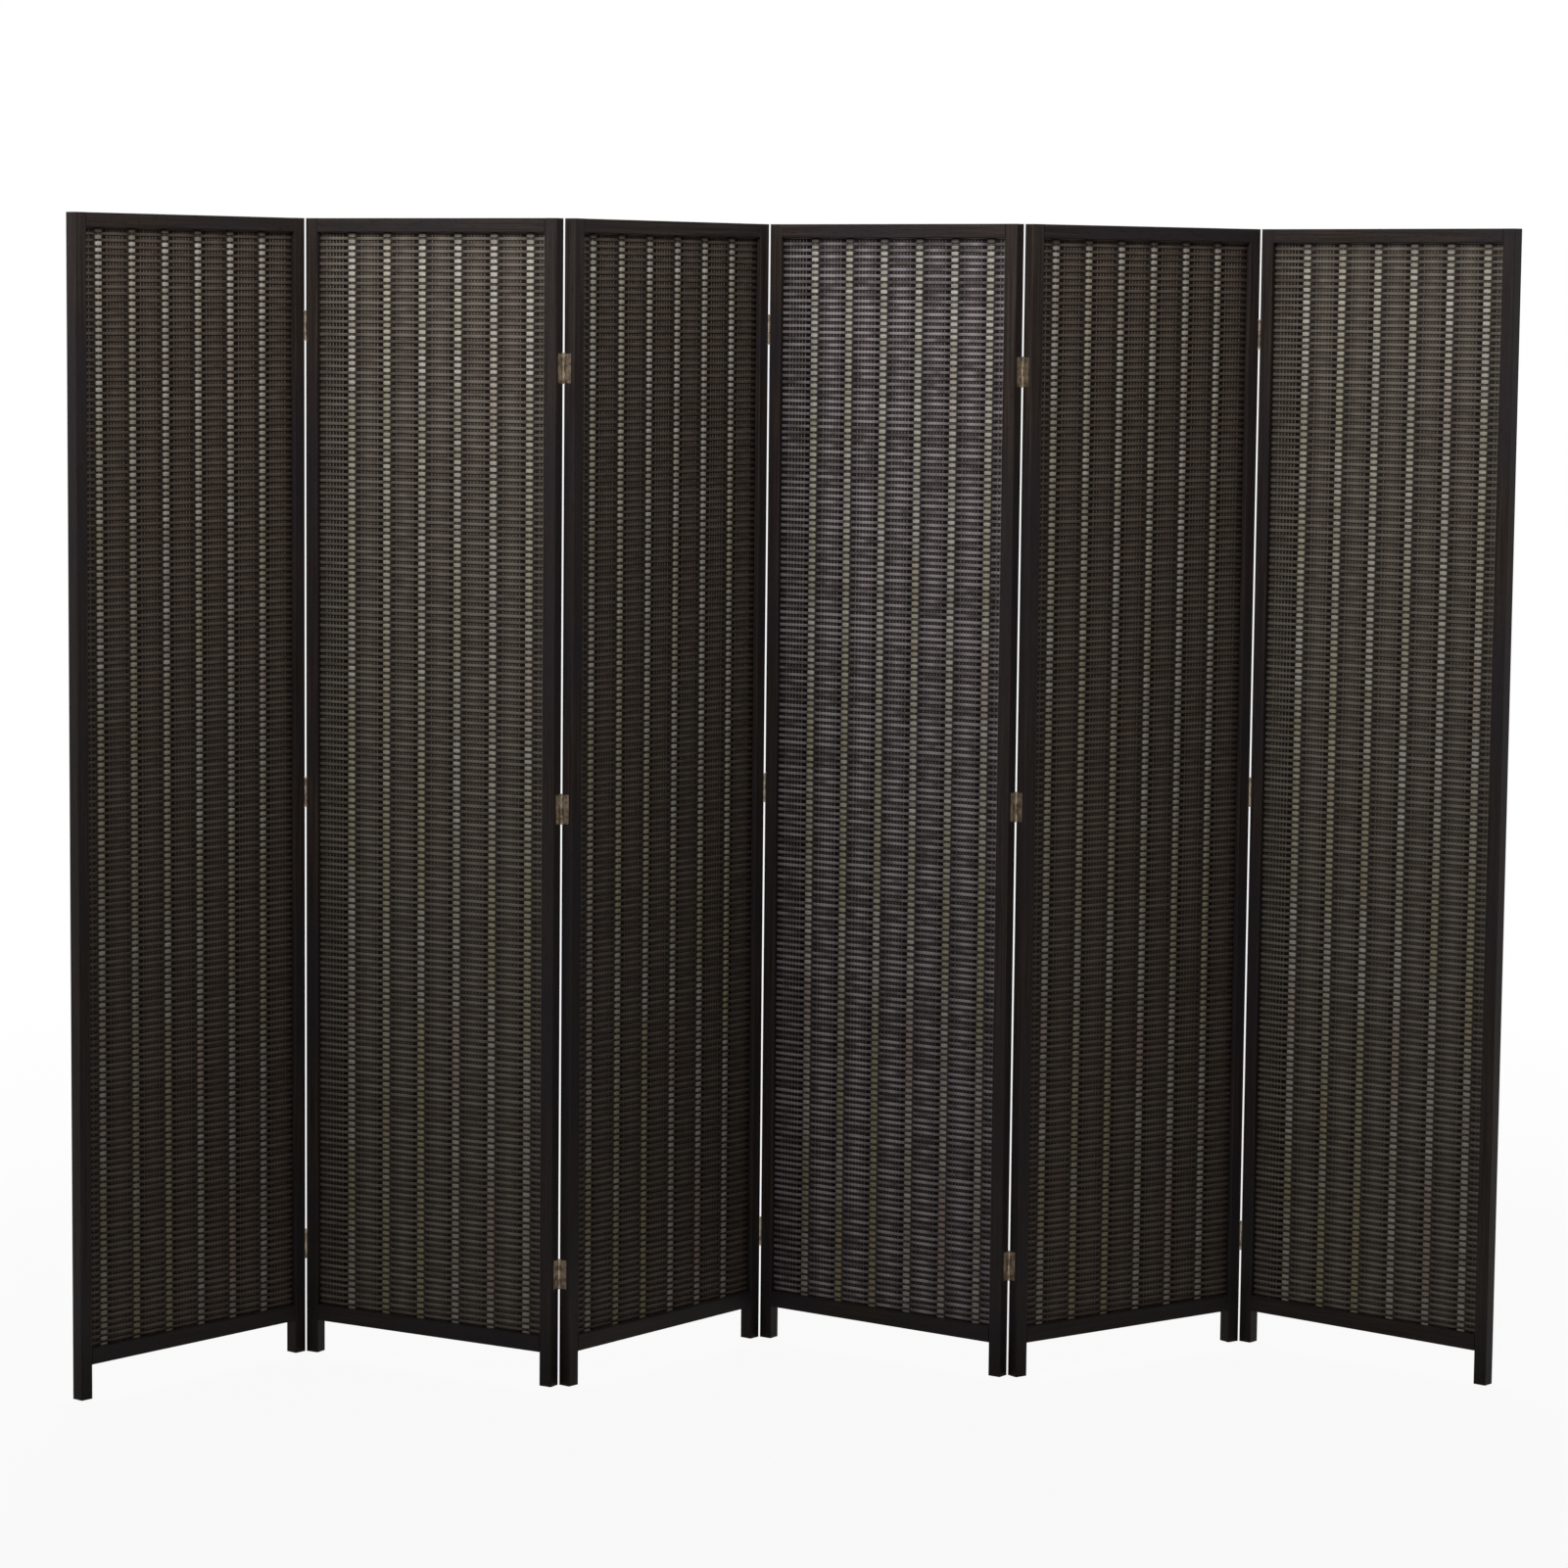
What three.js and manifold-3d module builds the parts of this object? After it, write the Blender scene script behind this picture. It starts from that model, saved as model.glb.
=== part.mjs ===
// Six-panel folding screen with woven inserts, standing in a zigzag on its own legs.
// Millimetres, +Z up. The front faces -Y. The origin is on the floor, in the middle of the plan.
//
// Each panel is a grooved timber frame, mortised and tenoned, that holds a woven mat.
// Neighbouring panels are joined by three butt hinges, let in flush and screwed to the edges of
// their stiles. The pins lie in front of the screen at one fold and behind it at the next, so
// that the panels close on one another like a concertina.

import * as THREE from 'three';
import { mergeVertices } from 'three/addons/utils/BufferGeometryUtils.js';
import Module from 'manifold-3d';

const wasm = await Module();
wasm.setup();

// ---- Driving dimensions ----

// Directions in which the panels run, left to right, in degrees from +X seen from above.
const PANEL_HEADINGS = [44, -35, 46, -40.5, 31, -45];

// Panel frame.
const PANEL_HEIGHT = 1750;
const PANEL_WIDTH = 452;
const FRAME_THICKNESS = 20.6;
const STILE_FACE = 21;
const TOP_RAIL_FACE = 21;
const BOTTOM_RAIL_FACE = 25;
const LEG_LENGTH = 51;
const ARRIS_RADIUS = 1.5;

// Joints between rails, stiles and mat.
const TENON_LENGTH = 13;
const TENON_THICKNESS = 7;
const TENON_SHOULDER = 4;
const GROOVE_DEPTH = 6;
const SEAT_GAP = 0.3;

// Woven mat: wide bands between narrow columns of slats, pinched where the slats cross over.
// The first column's middle is closer to its stile than the last one's is to the other stile. It
// is at the left of panels 1, 3 and 5, and the mats of the others are turned round.
const MAT_THICKNESS = 5;
const MAT_PINCH_THICKNESS = 2.4;
const COLUMN_PITCH = 64.3;
const COLUMN_WIDTH = 12.5;
const FIRST_COLUMN = 30.25;
const CROSSING_WIDTH = 9.5;

// Folds: the gap between the edges of two panels that stand in line, and the distance of the
// pin line from their faces, which is half the gap between the faces when they are folded up.
const FOLD_GAP = 0.8;
const PIN_STANDOFF = 0.4;

// Butt hinges.
const HINGE_HEIGHT = 44;
const LEAF_REACH = 14;
const LEAF_THICKNESS = 1;
const KNUCKLE_COUNT = 3;
const KNUCKLE_RADIUS = 2.2;
const KNUCKLE_END_GAP = 0.3;
const KNUCKLE_CLEARANCE = 0.3;
const PIN_RADIUS = 1.1;
const PIN_CLEARANCE = 0.15;
const PIN_HEAD_RADIUS = 1.9;
const PIN_HEAD_HEIGHT = 1.1;
const SCREW_SPACING = 27;
const SCREW_SETBACK = 5;
const SCREW_HEAD_RADIUS = 2.9;
const SCREW_HOLE_RADIUS = 1.6;

// Hinge places: from the floor to the lowest hinge, from the top of the panel to the highest
// one. The highest hinge sits lower where the pins are behind the screen.
const LOW_HINGE_HEIGHT = 170;
const HIGH_HINGE_DROP_FRONT_PINS = 162;
const HIGH_HINGE_DROP_BACK_PINS = 220;

// Roundness, in facets.
const ARRIS_FACETS = 2;
const BARREL_FACETS = 8;
const PIN_FACETS = 6;
const SCREW_HOLE_FACETS = 6;
const CROSSING_STEPS = 2;

// ---- Sizes that follow ----

const OPENING_WIDTH = PANEL_WIDTH - 2 * STILE_FACE;
const MAT_HOLD = GROOVE_DEPTH - SEAT_GAP;
const COLUMN_COUNT = 1 + Math.floor((OPENING_WIDTH - 2 * FIRST_COLUMN) / COLUMN_PITCH);
const GROOVE_WIDTH = MAT_THICKNESS + 2 * SEAT_GAP;
const OPENING_BOTTOM = LEG_LENGTH + BOTTOM_RAIL_FACE;
const OPENING_TOP = PANEL_HEIGHT - TOP_RAIL_FACE;
const BARREL_SPACE = KNUCKLE_RADIUS + KNUCKLE_CLEARANCE;
const PIN_HEAD_START = HINGE_HEIGHT / 2 + KNUCKLE_END_GAP / 2;
const PIN_END = PIN_HEAD_START + PIN_HEAD_HEIGHT;
const SCREW_LINE = LEAF_REACH - SCREW_SETBACK;
const KNUCKLE_PITCH = HINGE_HEIGHT / KNUCKLE_COUNT;

// ---- Materials ----

const stainedWood = new THREE.MeshStandardMaterial({
  name: 'stained_wood', color: 0x241d1a, roughness: 0.5, metalness: 0, flatShading: true,
});
const wovenSlats = new THREE.MeshStandardMaterial({
  name: 'woven_slats', color: 0x4b453d, roughness: 0.8, metalness: 0, flatShading: true,
});
const agedBrass = new THREE.MeshStandardMaterial({
  name: 'aged_brass', color: 0x75684f, roughness: 0.45, metalness: 0.9, flatShading: true,
});

// ---- Solids ----

// A closed solid made from a three.js geometry, with its shared corners merged.
function solidOf(geometry) {
  const bare = geometry.clone();
  bare.deleteAttribute('normal');
  bare.deleteAttribute('uv');
  const merged = mergeVertices(bare, 1e-4);
  return new wasm.Manifold(new wasm.Mesh({
    numProp: 3,
    vertProperties: Float32Array.from(merged.attributes.position.array),
    triVerts: Uint32Array.from(merged.index.array),
  }));
}

// The three.js geometry of a solid.
function geometryOf(solid) {
  const mesh = solid.getMesh();
  const geometry = new THREE.BufferGeometry();
  geometry.setAttribute('position', new THREE.BufferAttribute(mesh.vertProperties, 3));
  geometry.setIndex(new THREE.BufferAttribute(mesh.triVerts, 1));
  geometry.computeVertexNormals();
  return geometry;
}

// A block between a lowest and a highest value on each axis.
function block([x0, x1], [y0, y1], [z0, z1]) {
  const geometry = new THREE.BoxGeometry(x1 - x0, y1 - y0, z1 - z0);
  geometry.translate((x0 + x1) / 2, (y0 + y1) / 2, (z0 + z1) / 2);
  return solidOf(geometry);
}

// An upright round bar, turned so that a facet's corner lies on the X axis.
function roundBar(radius, [z0, z1], facets) {
  const geometry = new THREE.CylinderGeometry(radius, radius, z1 - z0, facets);
  geometry.rotateX(Math.PI / 2);
  geometry.translate(0, 0, (z0 + z1) / 2);
  return solidOf(geometry);
}

// A round plug along X, from one radius at x0 to another at x1.
function plugAlongX(radius0, radius1, [x0, x1], y, z, facets) {
  const geometry = new THREE.CylinderGeometry(radius0, radius1, x1 - x0, facets);
  geometry.rotateZ(Math.PI / 2);
  geometry.translate((x0 + x1) / 2, y, z);
  return solidOf(geometry);
}

// A timber section, face by thickness, with its four arrises rounded.
function timberSection(face, thickness) {
  const x = face / 2 - ARRIS_RADIUS;
  const y = thickness / 2 - ARRIS_RADIUS;
  const section = new THREE.Shape();
  section.absarc(x, -y, ARRIS_RADIUS, -Math.PI / 2, 0);
  section.absarc(x, y, ARRIS_RADIUS, 0, Math.PI / 2);
  section.absarc(-x, y, ARRIS_RADIUS, Math.PI / 2, Math.PI);
  section.absarc(-x, -y, ARRIS_RADIUS, Math.PI, 1.5 * Math.PI);
  return section;
}

// A length of timber standing on the floor plane, centred on the Z axis.
function timber(face, thickness, length) {
  return solidOf(new THREE.ExtrudeGeometry(timberSection(face, thickness), {
    depth: length, bevelEnabled: false, curveSegments: ARRIS_FACETS,
  }));
}

// ---- Panel frame ----

// Heights of the hinge centres, by name, at a fold with its pins in front of or behind the screen.
function hingeHeights(inFront) {
  const drop = inFront ? HIGH_HINGE_DROP_FRONT_PINS : HIGH_HINGE_DROP_BACK_PINS;
  return {
    top: PANEL_HEIGHT - drop,
    middle: PANEL_HEIGHT / 2,
    bottom: LOW_HINGE_HEIGHT,
  };
}

// The blind mortise for a tenon between two heights, opening at the inner face of a left stile.
function mortise([tenonBottom, tenonTop]) {
  const half = TENON_THICKNESS / 2 + SEAT_GAP;
  return block(
    [STILE_FACE / 2 - TENON_LENGTH - SEAT_GAP, STILE_FACE],
    [-half, half],
    [tenonBottom - SEAT_GAP, tenonTop + SEAT_GAP],
  );
}

// The recess that a hinge with its pin in front needs in a left stile, about the hinge's
// middle: a housing for the leaf, and a notch in the arris for the barrels and the pin.
function hingeRecess() {
  const pinX = -(STILE_FACE + FOLD_GAP) / 2;
  const pinY = -FRAME_THICKNESS / 2 - PIN_STANDOFF;
  const housingTop = HINGE_HEIGHT / 2 + SEAT_GAP;
  const notchTop = PIN_END + KNUCKLE_CLEARANCE;
  const housing = block(
    [-STILE_FACE, LEAF_THICKNESS + SEAT_GAP - STILE_FACE / 2],
    [-FRAME_THICKNESS, pinY + LEAF_REACH + SEAT_GAP],
    [-housingTop, housingTop],
  );
  const notch = block(
    [-STILE_FACE, pinX + BARREL_SPACE],
    [-FRAME_THICKNESS, pinY + BARREL_SPACE],
    [-notchTop, notchTop],
  );
  return housing.add(notch);
}

// The recesses for the three hinges at a left stile's edge.
function hingeRecesses(inFront) {
  const recess = inFront ? hingeRecess() : hingeRecess().mirror([0, 1, 0]);
  const heights = Object.values(hingeHeights(inFront));
  return wasm.Manifold.union(heights.map((height) => recess.translate([0, 0, height])));
}

// A left stile, with its inner side towards +X, mortised for both rails and grooved for the mat.
function leftStile() {
  const groove = block(
    [STILE_FACE / 2 - GROOVE_DEPTH, STILE_FACE],
    [-GROOVE_WIDTH / 2, GROOVE_WIDTH / 2],
    [OPENING_BOTTOM - GROOVE_DEPTH, OPENING_TOP + GROOVE_DEPTH],
  );
  const bottomMortise = mortise([LEG_LENGTH + TENON_SHOULDER, OPENING_BOTTOM - GROOVE_DEPTH]);
  const topMortise = mortise([OPENING_TOP + GROOVE_DEPTH, PANEL_HEIGHT - TENON_SHOULDER]);
  const cuts = wasm.Manifold.union([groove, bottomMortise, topMortise]);
  return timber(STILE_FACE, FRAME_THICKNESS, PANEL_HEIGHT).subtract(cuts);
}

// A rail lying along X, its outer side up, with a mat groove below and a tenon on each end
// that is as high as the wood between the groove and the outer shoulder.
function rail(face) {
  const shoulder = OPENING_WIDTH / 2 - SEAT_GAP;
  const bar = timber(face, FRAME_THICKNESS, 2 * shoulder)
    .translate([0, 0, -shoulder])
    .rotate([0, 90, 0]);
  const tenons = block(
    [-OPENING_WIDTH / 2 - TENON_LENGTH, OPENING_WIDTH / 2 + TENON_LENGTH],
    [-TENON_THICKNESS / 2, TENON_THICKNESS / 2],
    [GROOVE_DEPTH - face / 2, face / 2 - TENON_SHOULDER],
  );
  const groove = block(
    [-shoulder, shoulder],
    [-GROOVE_WIDTH / 2, GROOVE_WIDTH / 2],
    [-face, GROOVE_DEPTH - face / 2],
  );
  return bar.add(tenons).subtract(groove);
}

// ---- Woven mat ----

// Points along the front of the mat's plan: full thickness over bands and columns, and a
// pinch at each crossing beside a column.
function matFrontLine() {
  const half = OPENING_WIDTH / 2 + MAT_HOLD;
  const full = MAT_THICKNESS / 2;
  const pinch = (MAT_THICKNESS - MAT_PINCH_THICKNESS) / 2;
  const points = [new THREE.Vector2(-half, -full)];
  for (let column = 0; column < COLUMN_COUNT; column += 1) {
    const centre = FIRST_COLUMN + column * COLUMN_PITCH - OPENING_WIDTH / 2;
    for (const side of [-1, 1]) {
      const crossing = centre + side * (COLUMN_WIDTH + CROSSING_WIDTH) / 2;
      for (let step = 0; step <= CROSSING_STEPS; step += 1) {
        const share = step / CROSSING_STEPS;
        const x = crossing + (share - 0.5) * CROSSING_WIDTH;
        const inset = pinch * (1 - Math.cos(2 * Math.PI * share)) / 2;
        points.push(new THREE.Vector2(x, inset - full));
      }
    }
  }
  points.push(new THREE.Vector2(half, -full));
  return points;
}

// The mat, standing between the rails and held in their grooves and in the stiles'.
function wovenMat() {
  const front = matFrontLine();
  const back = front.map((point) => new THREE.Vector2(point.x, -point.y)).reverse();
  const bottom = OPENING_BOTTOM - MAT_HOLD;
  const top = OPENING_TOP + MAT_HOLD;
  const geometry = new THREE.ExtrudeGeometry(new THREE.Shape([...front, ...back]), {
    depth: top - bottom, bevelEnabled: false,
  });
  geometry.translate(0, 0, bottom);
  return solidOf(geometry);
}

// ---- Butt hinge ----
//
// A hinge is drawn flat about its pin: the pin is the Z axis, +Y runs from the pin across the
// stile's edge, and the knuckle leaf is on the -X side with the pin leaf on the +X side.

// Height range of one knuckle, shortened at both ends so that the knuckles turn freely.
function knuckleSpan(index) {
  const start = index * KNUCKLE_PITCH - HINGE_HEIGHT / 2;
  return [start + KNUCKLE_END_GAP / 2, start + KNUCKLE_PITCH - KNUCKLE_END_GAP / 2];
}

// A cone that cuts a countersunk screw hole in a plate, wide on the plate's +X face. It runs
// on past both faces at the same slope.
function countersink([x0, x1], z) {
  const overrun = (x1 - x0) / 4;
  const widening = (SCREW_HEAD_RADIUS - SCREW_HOLE_RADIUS) / 4;
  return plugAlongX(
    SCREW_HOLE_RADIUS - widening, SCREW_HEAD_RADIUS + widening,
    [x0 - overrun, x1 + overrun], SCREW_LINE, z, SCREW_HOLE_FACETS,
  );
}

// The plate of the leaf on the -X side, with a strap to each of its own knuckles and two
// countersunk screw holes.
function leafPlate(knuckles) {
  const across = [-FOLD_GAP / 2 - LEAF_THICKNESS, -FOLD_GAP / 2];
  const height = [-HINGE_HEIGHT / 2, HINGE_HEIGHT / 2];
  const plate = block(across, [BARREL_SPACE, LEAF_REACH], height);
  const straps = knuckles.map((index) => (
    block(across, [0, BARREL_SPACE + LEAF_THICKNESS], knuckleSpan(index))
  ));
  const holes = [-1, 1].map((side) => countersink(across, side * SCREW_SPACING / 2));
  return wasm.Manifold.union([plate, ...straps]).subtract(wasm.Manifold.union(holes));
}

// The barrels of a leaf's own knuckles.
function barrels(knuckles) {
  return wasm.Manifold.union(knuckles.map((index) => (
    roundBar(KNUCKLE_RADIUS, knuckleSpan(index), BARREL_FACETS)
  )));
}

// The leaf with the outer knuckles, bored for the pin.
function knuckleLeaf(knuckles) {
  const boreFlat = PIN_RADIUS + PIN_CLEARANCE;
  const boreCorner = boreFlat / Math.cos(Math.PI / PIN_FACETS);
  const bore = roundBar(boreCorner, [-HINGE_HEIGHT, HINGE_HEIGHT], PIN_FACETS);
  return leafPlate(knuckles).add(barrels(knuckles)).subtract(bore);
}

// The leaf with the inner knuckles, and the pin fixed in them with its two heads.
function pinLeaf(knuckles) {
  const pin = wasm.Manifold.union([
    roundBar(PIN_RADIUS, [-PIN_END, PIN_END], PIN_FACETS),
    roundBar(PIN_HEAD_RADIUS, [PIN_HEAD_START, PIN_END], PIN_FACETS),
    roundBar(PIN_HEAD_RADIUS, [-PIN_END, -PIN_HEAD_START], PIN_FACETS),
  ]);
  return leafPlate(knuckles).add(barrels(knuckles)).mirror([1, 0, 0]).add(pin);
}

// ---- Assembly ----

const allKnuckles = [...Array(KNUCKLE_COUNT).keys()];
const plainStile = leftStile();
const frontPinStile = plainStile.subtract(hingeRecesses(true));
const backPinStile = plainStile.subtract(hingeRecesses(false));
const shapes = {
  plainLeftStile: geometryOf(plainStile),
  frontPinLeftStile: geometryOf(frontPinStile),
  backPinLeftStile: geometryOf(backPinStile),
  plainRightStile: geometryOf(plainStile.mirror([1, 0, 0])),
  frontPinRightStile: geometryOf(frontPinStile.mirror([1, 0, 0])),
  backPinRightStile: geometryOf(backPinStile.mirror([1, 0, 0])),
  topRail: geometryOf(rail(TOP_RAIL_FACE)),
  bottomRail: geometryOf(rail(BOTTOM_RAIL_FACE)),
  mat: geometryOf(wovenMat()),
  knuckleLeaf: geometryOf(knuckleLeaf(allKnuckles.filter((index) => index % 2 === 0))),
  pinLeaf: geometryOf(pinLeaf(allKnuckles.filter((index) => index % 2 === 1))),
};

// A named piece of one shape and material.
function piece(name, geometry, material) {
  const mesh = new THREE.Mesh(geometry, material);
  mesh.name = name;
  return mesh;
}

// The pins lie in front of the screen at the folds after panels 1, 3 and 5.
function pinsInFront(fold) {
  return fold % 2 === 1;
}

// Where the pin line of the fold at a panel's left or right edge stands, in the panel's own
// frame: X from its left edge, Y from the middle of its thickness.
function pinLine(panel, side) {
  const fold = side === 'left' ? panel - 1 : panel;
  const x = side === 'left' ? -FOLD_GAP / 2 : PANEL_WIDTH + FOLD_GAP / 2;
  const y = (pinsInFront(fold) ? -1 : 1) * (FRAME_THICKNESS / 2 + PIN_STANDOFF);
  return new THREE.Vector3(x, y, 0);
}

// The shape of the stile at a panel's left or right edge. The outermost two bear no hinges.
function stileShape(panel, side) {
  const fold = side === 'left' ? panel - 1 : panel;
  const sideName = side === 'left' ? 'LeftStile' : 'RightStile';
  if (fold < 1 || fold >= PANEL_HEADINGS.length) {
    return shapes[`plain${sideName}`];
  }
  return pinsInFront(fold) ? shapes[`frontPin${sideName}`] : shapes[`backPin${sideName}`];
}

// The leaves on one edge of a panel. A hinge whose pins are behind the screen is the same
// hinge turned half round, so the panel at its left gets the pin leaf.
function placedLeaves(panel, side) {
  const fold = side === 'left' ? panel - 1 : panel;
  const inFront = pinsInFront(fold);
  const isKnuckleLeaf = inFront === (side === 'right');
  const shape = isKnuckleLeaf ? shapes.knuckleLeaf : shapes.pinLeaf;
  const kind = isKnuckleLeaf ? 'knuckle_leaf' : 'pin_leaf';
  return Object.entries(hingeHeights(inFront)).map(([level, height]) => {
    const mesh = piece(`fold_${fold}_${fold + 1}_${level}_${kind}`, shape, agedBrass);
    mesh.position.copy(pinLine(panel, side)).setZ(height);
    mesh.rotation.z = inFront ? 0 : Math.PI;
    return mesh;
  });
}

// One complete panel, with its left edge at X 0 and its thickness centred on Y 0.
function buildPanel(panel) {
  const middle = PANEL_WIDTH / 2;
  const group = new THREE.Group();

  const leftStileBar = piece(`panel_${panel}_left_stile`, stileShape(panel, 'left'), stainedWood);
  leftStileBar.position.x = STILE_FACE / 2;
  const rightStileBar = piece(`panel_${panel}_right_stile`, stileShape(panel, 'right'), stainedWood);
  rightStileBar.position.x = PANEL_WIDTH - STILE_FACE / 2;
  const topRail = piece(`panel_${panel}_top_rail`, shapes.topRail, stainedWood);
  topRail.position.set(middle, 0, PANEL_HEIGHT - TOP_RAIL_FACE / 2);
  const bottomRail = piece(`panel_${panel}_bottom_rail`, shapes.bottomRail, stainedWood);
  bottomRail.position.set(middle, 0, LEG_LENGTH + BOTTOM_RAIL_FACE / 2);
  bottomRail.rotation.x = Math.PI;
  const mat = piece(`panel_${panel}_woven_mat`, shapes.mat, wovenSlats);
  mat.position.x = middle;
  mat.rotation.z = panel % 2 === 1 ? 0 : Math.PI;

  group.add(leftStileBar, rightStileBar, topRail, bottomRail, mat);
  if (panel > 1) {
    group.add(...placedLeaves(panel, 'left'));
  }
  if (panel < PANEL_HEADINGS.length) {
    group.add(...placedLeaves(panel, 'right'));
  }
  return group;
}

// The whole screen: each panel hangs on the pin line of the one before it.
function buildScreen() {
  const screen = new THREE.Group();
  let carrier = screen;
  let heading = 0;
  PANEL_HEADINGS.forEach((nextHeading, index) => {
    const panel = index + 1;
    const group = buildPanel(panel);
    const hung = new THREE.Group();
    hung.rotation.z = THREE.MathUtils.degToRad(nextHeading - heading);
    if (panel > 1) {
      hung.position.copy(pinLine(panel - 1, 'right'));
      group.position.copy(pinLine(panel, 'left')).negate();
    }
    hung.add(group);
    carrier.add(hung);
    carrier = group;
    heading = nextHeading;
  });
  return screen;
}

const screen = buildScreen();
const plan = new THREE.Box3().setFromObject(screen, true).getCenter(new THREE.Vector3());
screen.position.set(-plan.x, -plan.y, 0);

export default screen;
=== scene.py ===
"""Dresses a six-panel folding screen: woven mats in stained timber frames on brass butt hinges.

All lengths are metres. +Z is up, the front faces -Y, and the origin is on the floor.
"""

import logging
import math
from dataclasses import dataclass, field
from enum import Enum
from typing import ClassVar

import bpy
from mathutils import Matrix, Vector


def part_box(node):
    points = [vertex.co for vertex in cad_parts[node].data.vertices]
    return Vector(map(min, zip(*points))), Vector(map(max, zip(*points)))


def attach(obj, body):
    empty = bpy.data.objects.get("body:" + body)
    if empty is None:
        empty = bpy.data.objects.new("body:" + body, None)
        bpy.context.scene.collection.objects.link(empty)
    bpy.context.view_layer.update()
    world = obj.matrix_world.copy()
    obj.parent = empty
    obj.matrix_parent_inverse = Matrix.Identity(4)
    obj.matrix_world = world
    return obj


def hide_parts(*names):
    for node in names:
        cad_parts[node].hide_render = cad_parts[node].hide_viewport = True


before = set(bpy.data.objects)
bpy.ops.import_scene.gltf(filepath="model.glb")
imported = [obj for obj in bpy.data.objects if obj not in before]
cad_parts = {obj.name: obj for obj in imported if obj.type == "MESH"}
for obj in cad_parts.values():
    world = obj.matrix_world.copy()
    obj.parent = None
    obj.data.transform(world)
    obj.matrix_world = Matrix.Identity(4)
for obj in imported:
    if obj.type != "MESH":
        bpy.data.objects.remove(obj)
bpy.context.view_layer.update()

log = logging.getLogger("folding_screen")

Socket = bpy.types.NodeSocket
Pair = tuple[float, float]
Triple = tuple[float, float, float]
Quad = tuple[float, float, float, float]
Colour = Quad

MM = 0.001
COLUMN_PITCH = 64.3 * MM
CORD_PITCH = 5.9 * MM

# Nearly all the values of a noise texture lie in this span.
NOISE_SPAN = (0.35, 0.65)


# ---- Small helpers ----


def paint(red: float, green: float, blue: float) -> Colour:
    """Turns a colour in sRGB steps from 0 to 255 into Blender's linear colour.

    Args:
        red: Red, 0 to 255.
        green: Green, 0 to 255.
        blue: Blue, 0 to 255.

    Returns:
        The linear colour with an alpha of 1.
    """
    def linear(step: float) -> float:
        """Undoes the sRGB curve for one channel."""
        share = step / 255
        return share / 12.92 if share <= 0.04045 else ((share + 0.055) / 1.055) ** 2.4

    return (linear(red), linear(green), linear(blue), 1.0)


class Graph:
    """A node tree that is being built."""

    def __init__(self, tree: bpy.types.NodeTree) -> None:
        """Starts with an empty tree."""
        self.tree = tree
        tree.nodes.clear()

    def add(self, kind: str, inputs: dict | None = None, **settings: object) -> bpy.types.Node:
        """Adds a node.

        Args:
            kind: The node's type name.
            inputs: Values or sockets for its inputs, by name or index.
            **settings: Properties of the node, such as its operation.

        Returns:
            The new node.
        """
        node = self.tree.nodes.new(kind)
        for name, value in settings.items():
            setattr(node, name, value)
        for key, value in (inputs or {}).items():
            self.feed(node.inputs[key], value)
        return node

    def feed(self, socket: Socket, value: object) -> None:
        """Links a socket to an input, or sets the input's own value."""
        if isinstance(value, Socket):
            self.tree.links.new(value, socket)
        else:
            socket.default_value = value

    def maths(self, operation: str, *values: object, clamp: bool = False) -> Socket:
        """Adds a Math node.

        Args:
            operation: The operation, as Blender names it.
            *values: Its inputs, as numbers or sockets.
            clamp: Whether the result is held between 0 and 1.

        Returns:
            The result's socket.
        """
        inputs = dict(enumerate(values))
        node = self.add("ShaderNodeMath", inputs, operation=operation, use_clamp=clamp)
        return node.outputs[0]

    def vector(self, x: object, y: object, z: object) -> Socket:
        """Joins three numbers into a vector."""
        return self.add("ShaderNodeCombineXYZ", {0: x, 1: y, 2: z}).outputs[0]

    def axes(self, vector: Socket) -> list[Socket]:
        """Parts a vector into its three numbers."""
        return list(self.add("ShaderNodeSeparateXYZ", {0: vector}).outputs)

    def noise(self, vector: Socket, scale: float, detail: float = 2.0) -> Socket:
        """Adds a noise texture.

        Args:
            vector: Where it is read.
            scale: Its scale, in cycles per unit of that vector.
            detail: Its number of octaves.

        Returns:
            The noise, from 0 to 1.
        """
        inputs = {"Vector": vector, "Scale": scale, "Detail": detail}
        return self.add("ShaderNodeTexNoise", inputs).outputs[0]


# ---- Finishes ----


class Finish:
    """A procedural material. Each kind of finish fills in its shader.

    In the finishes a span is the two values that a window stretches to 0 and 1, and a line is a
    gain and a base.
    """

    name: str

    def material(self) -> bpy.types.Material:
        """Builds the material, or returns the one of that name that is there.

        Returns:
            The material.
        """
        known = bpy.data.materials.get(self.name)
        if known:
            return known
        made = bpy.data.materials.new(self.name)
        made.use_nodes = True
        graph = Graph(made.node_tree)
        shader = graph.add("ShaderNodeBsdfPrincipled")
        output = graph.add("ShaderNodeOutputMaterial")
        graph.feed(output.inputs["Surface"], shader.outputs[0])
        self.shade(graph, shader)
        return made

    def shade(self, graph: Graph, shader: bpy.types.Node) -> None:
        """Feeds the shader's inputs."""
        raise NotImplementedError


def blend(graph: Graph, share: object, low: object, high: object) -> Socket:
    """Mixes two colours.

    Args:
        graph: The tree.
        share: How much of the second colour shows, from 0 to 1.
        low: The first colour.
        high: The second colour.

    Returns:
        The mixed colour.
    """
    node = graph.add("ShaderNodeMix", data_type="RGBA")
    graph.feed(node.inputs[0], share)
    graph.feed(node.inputs[6], low)
    graph.feed(node.inputs[7], high)
    return node.outputs[2]


def window(graph: Graph, value: object, low: float, high: float) -> Socket:
    """Stretches a value so that low becomes 0 and high becomes 1, held between them."""
    inputs = {0: value, 1: low, 2: high}
    return graph.add("ShaderNodeMapRange", inputs).outputs[0]


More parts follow.
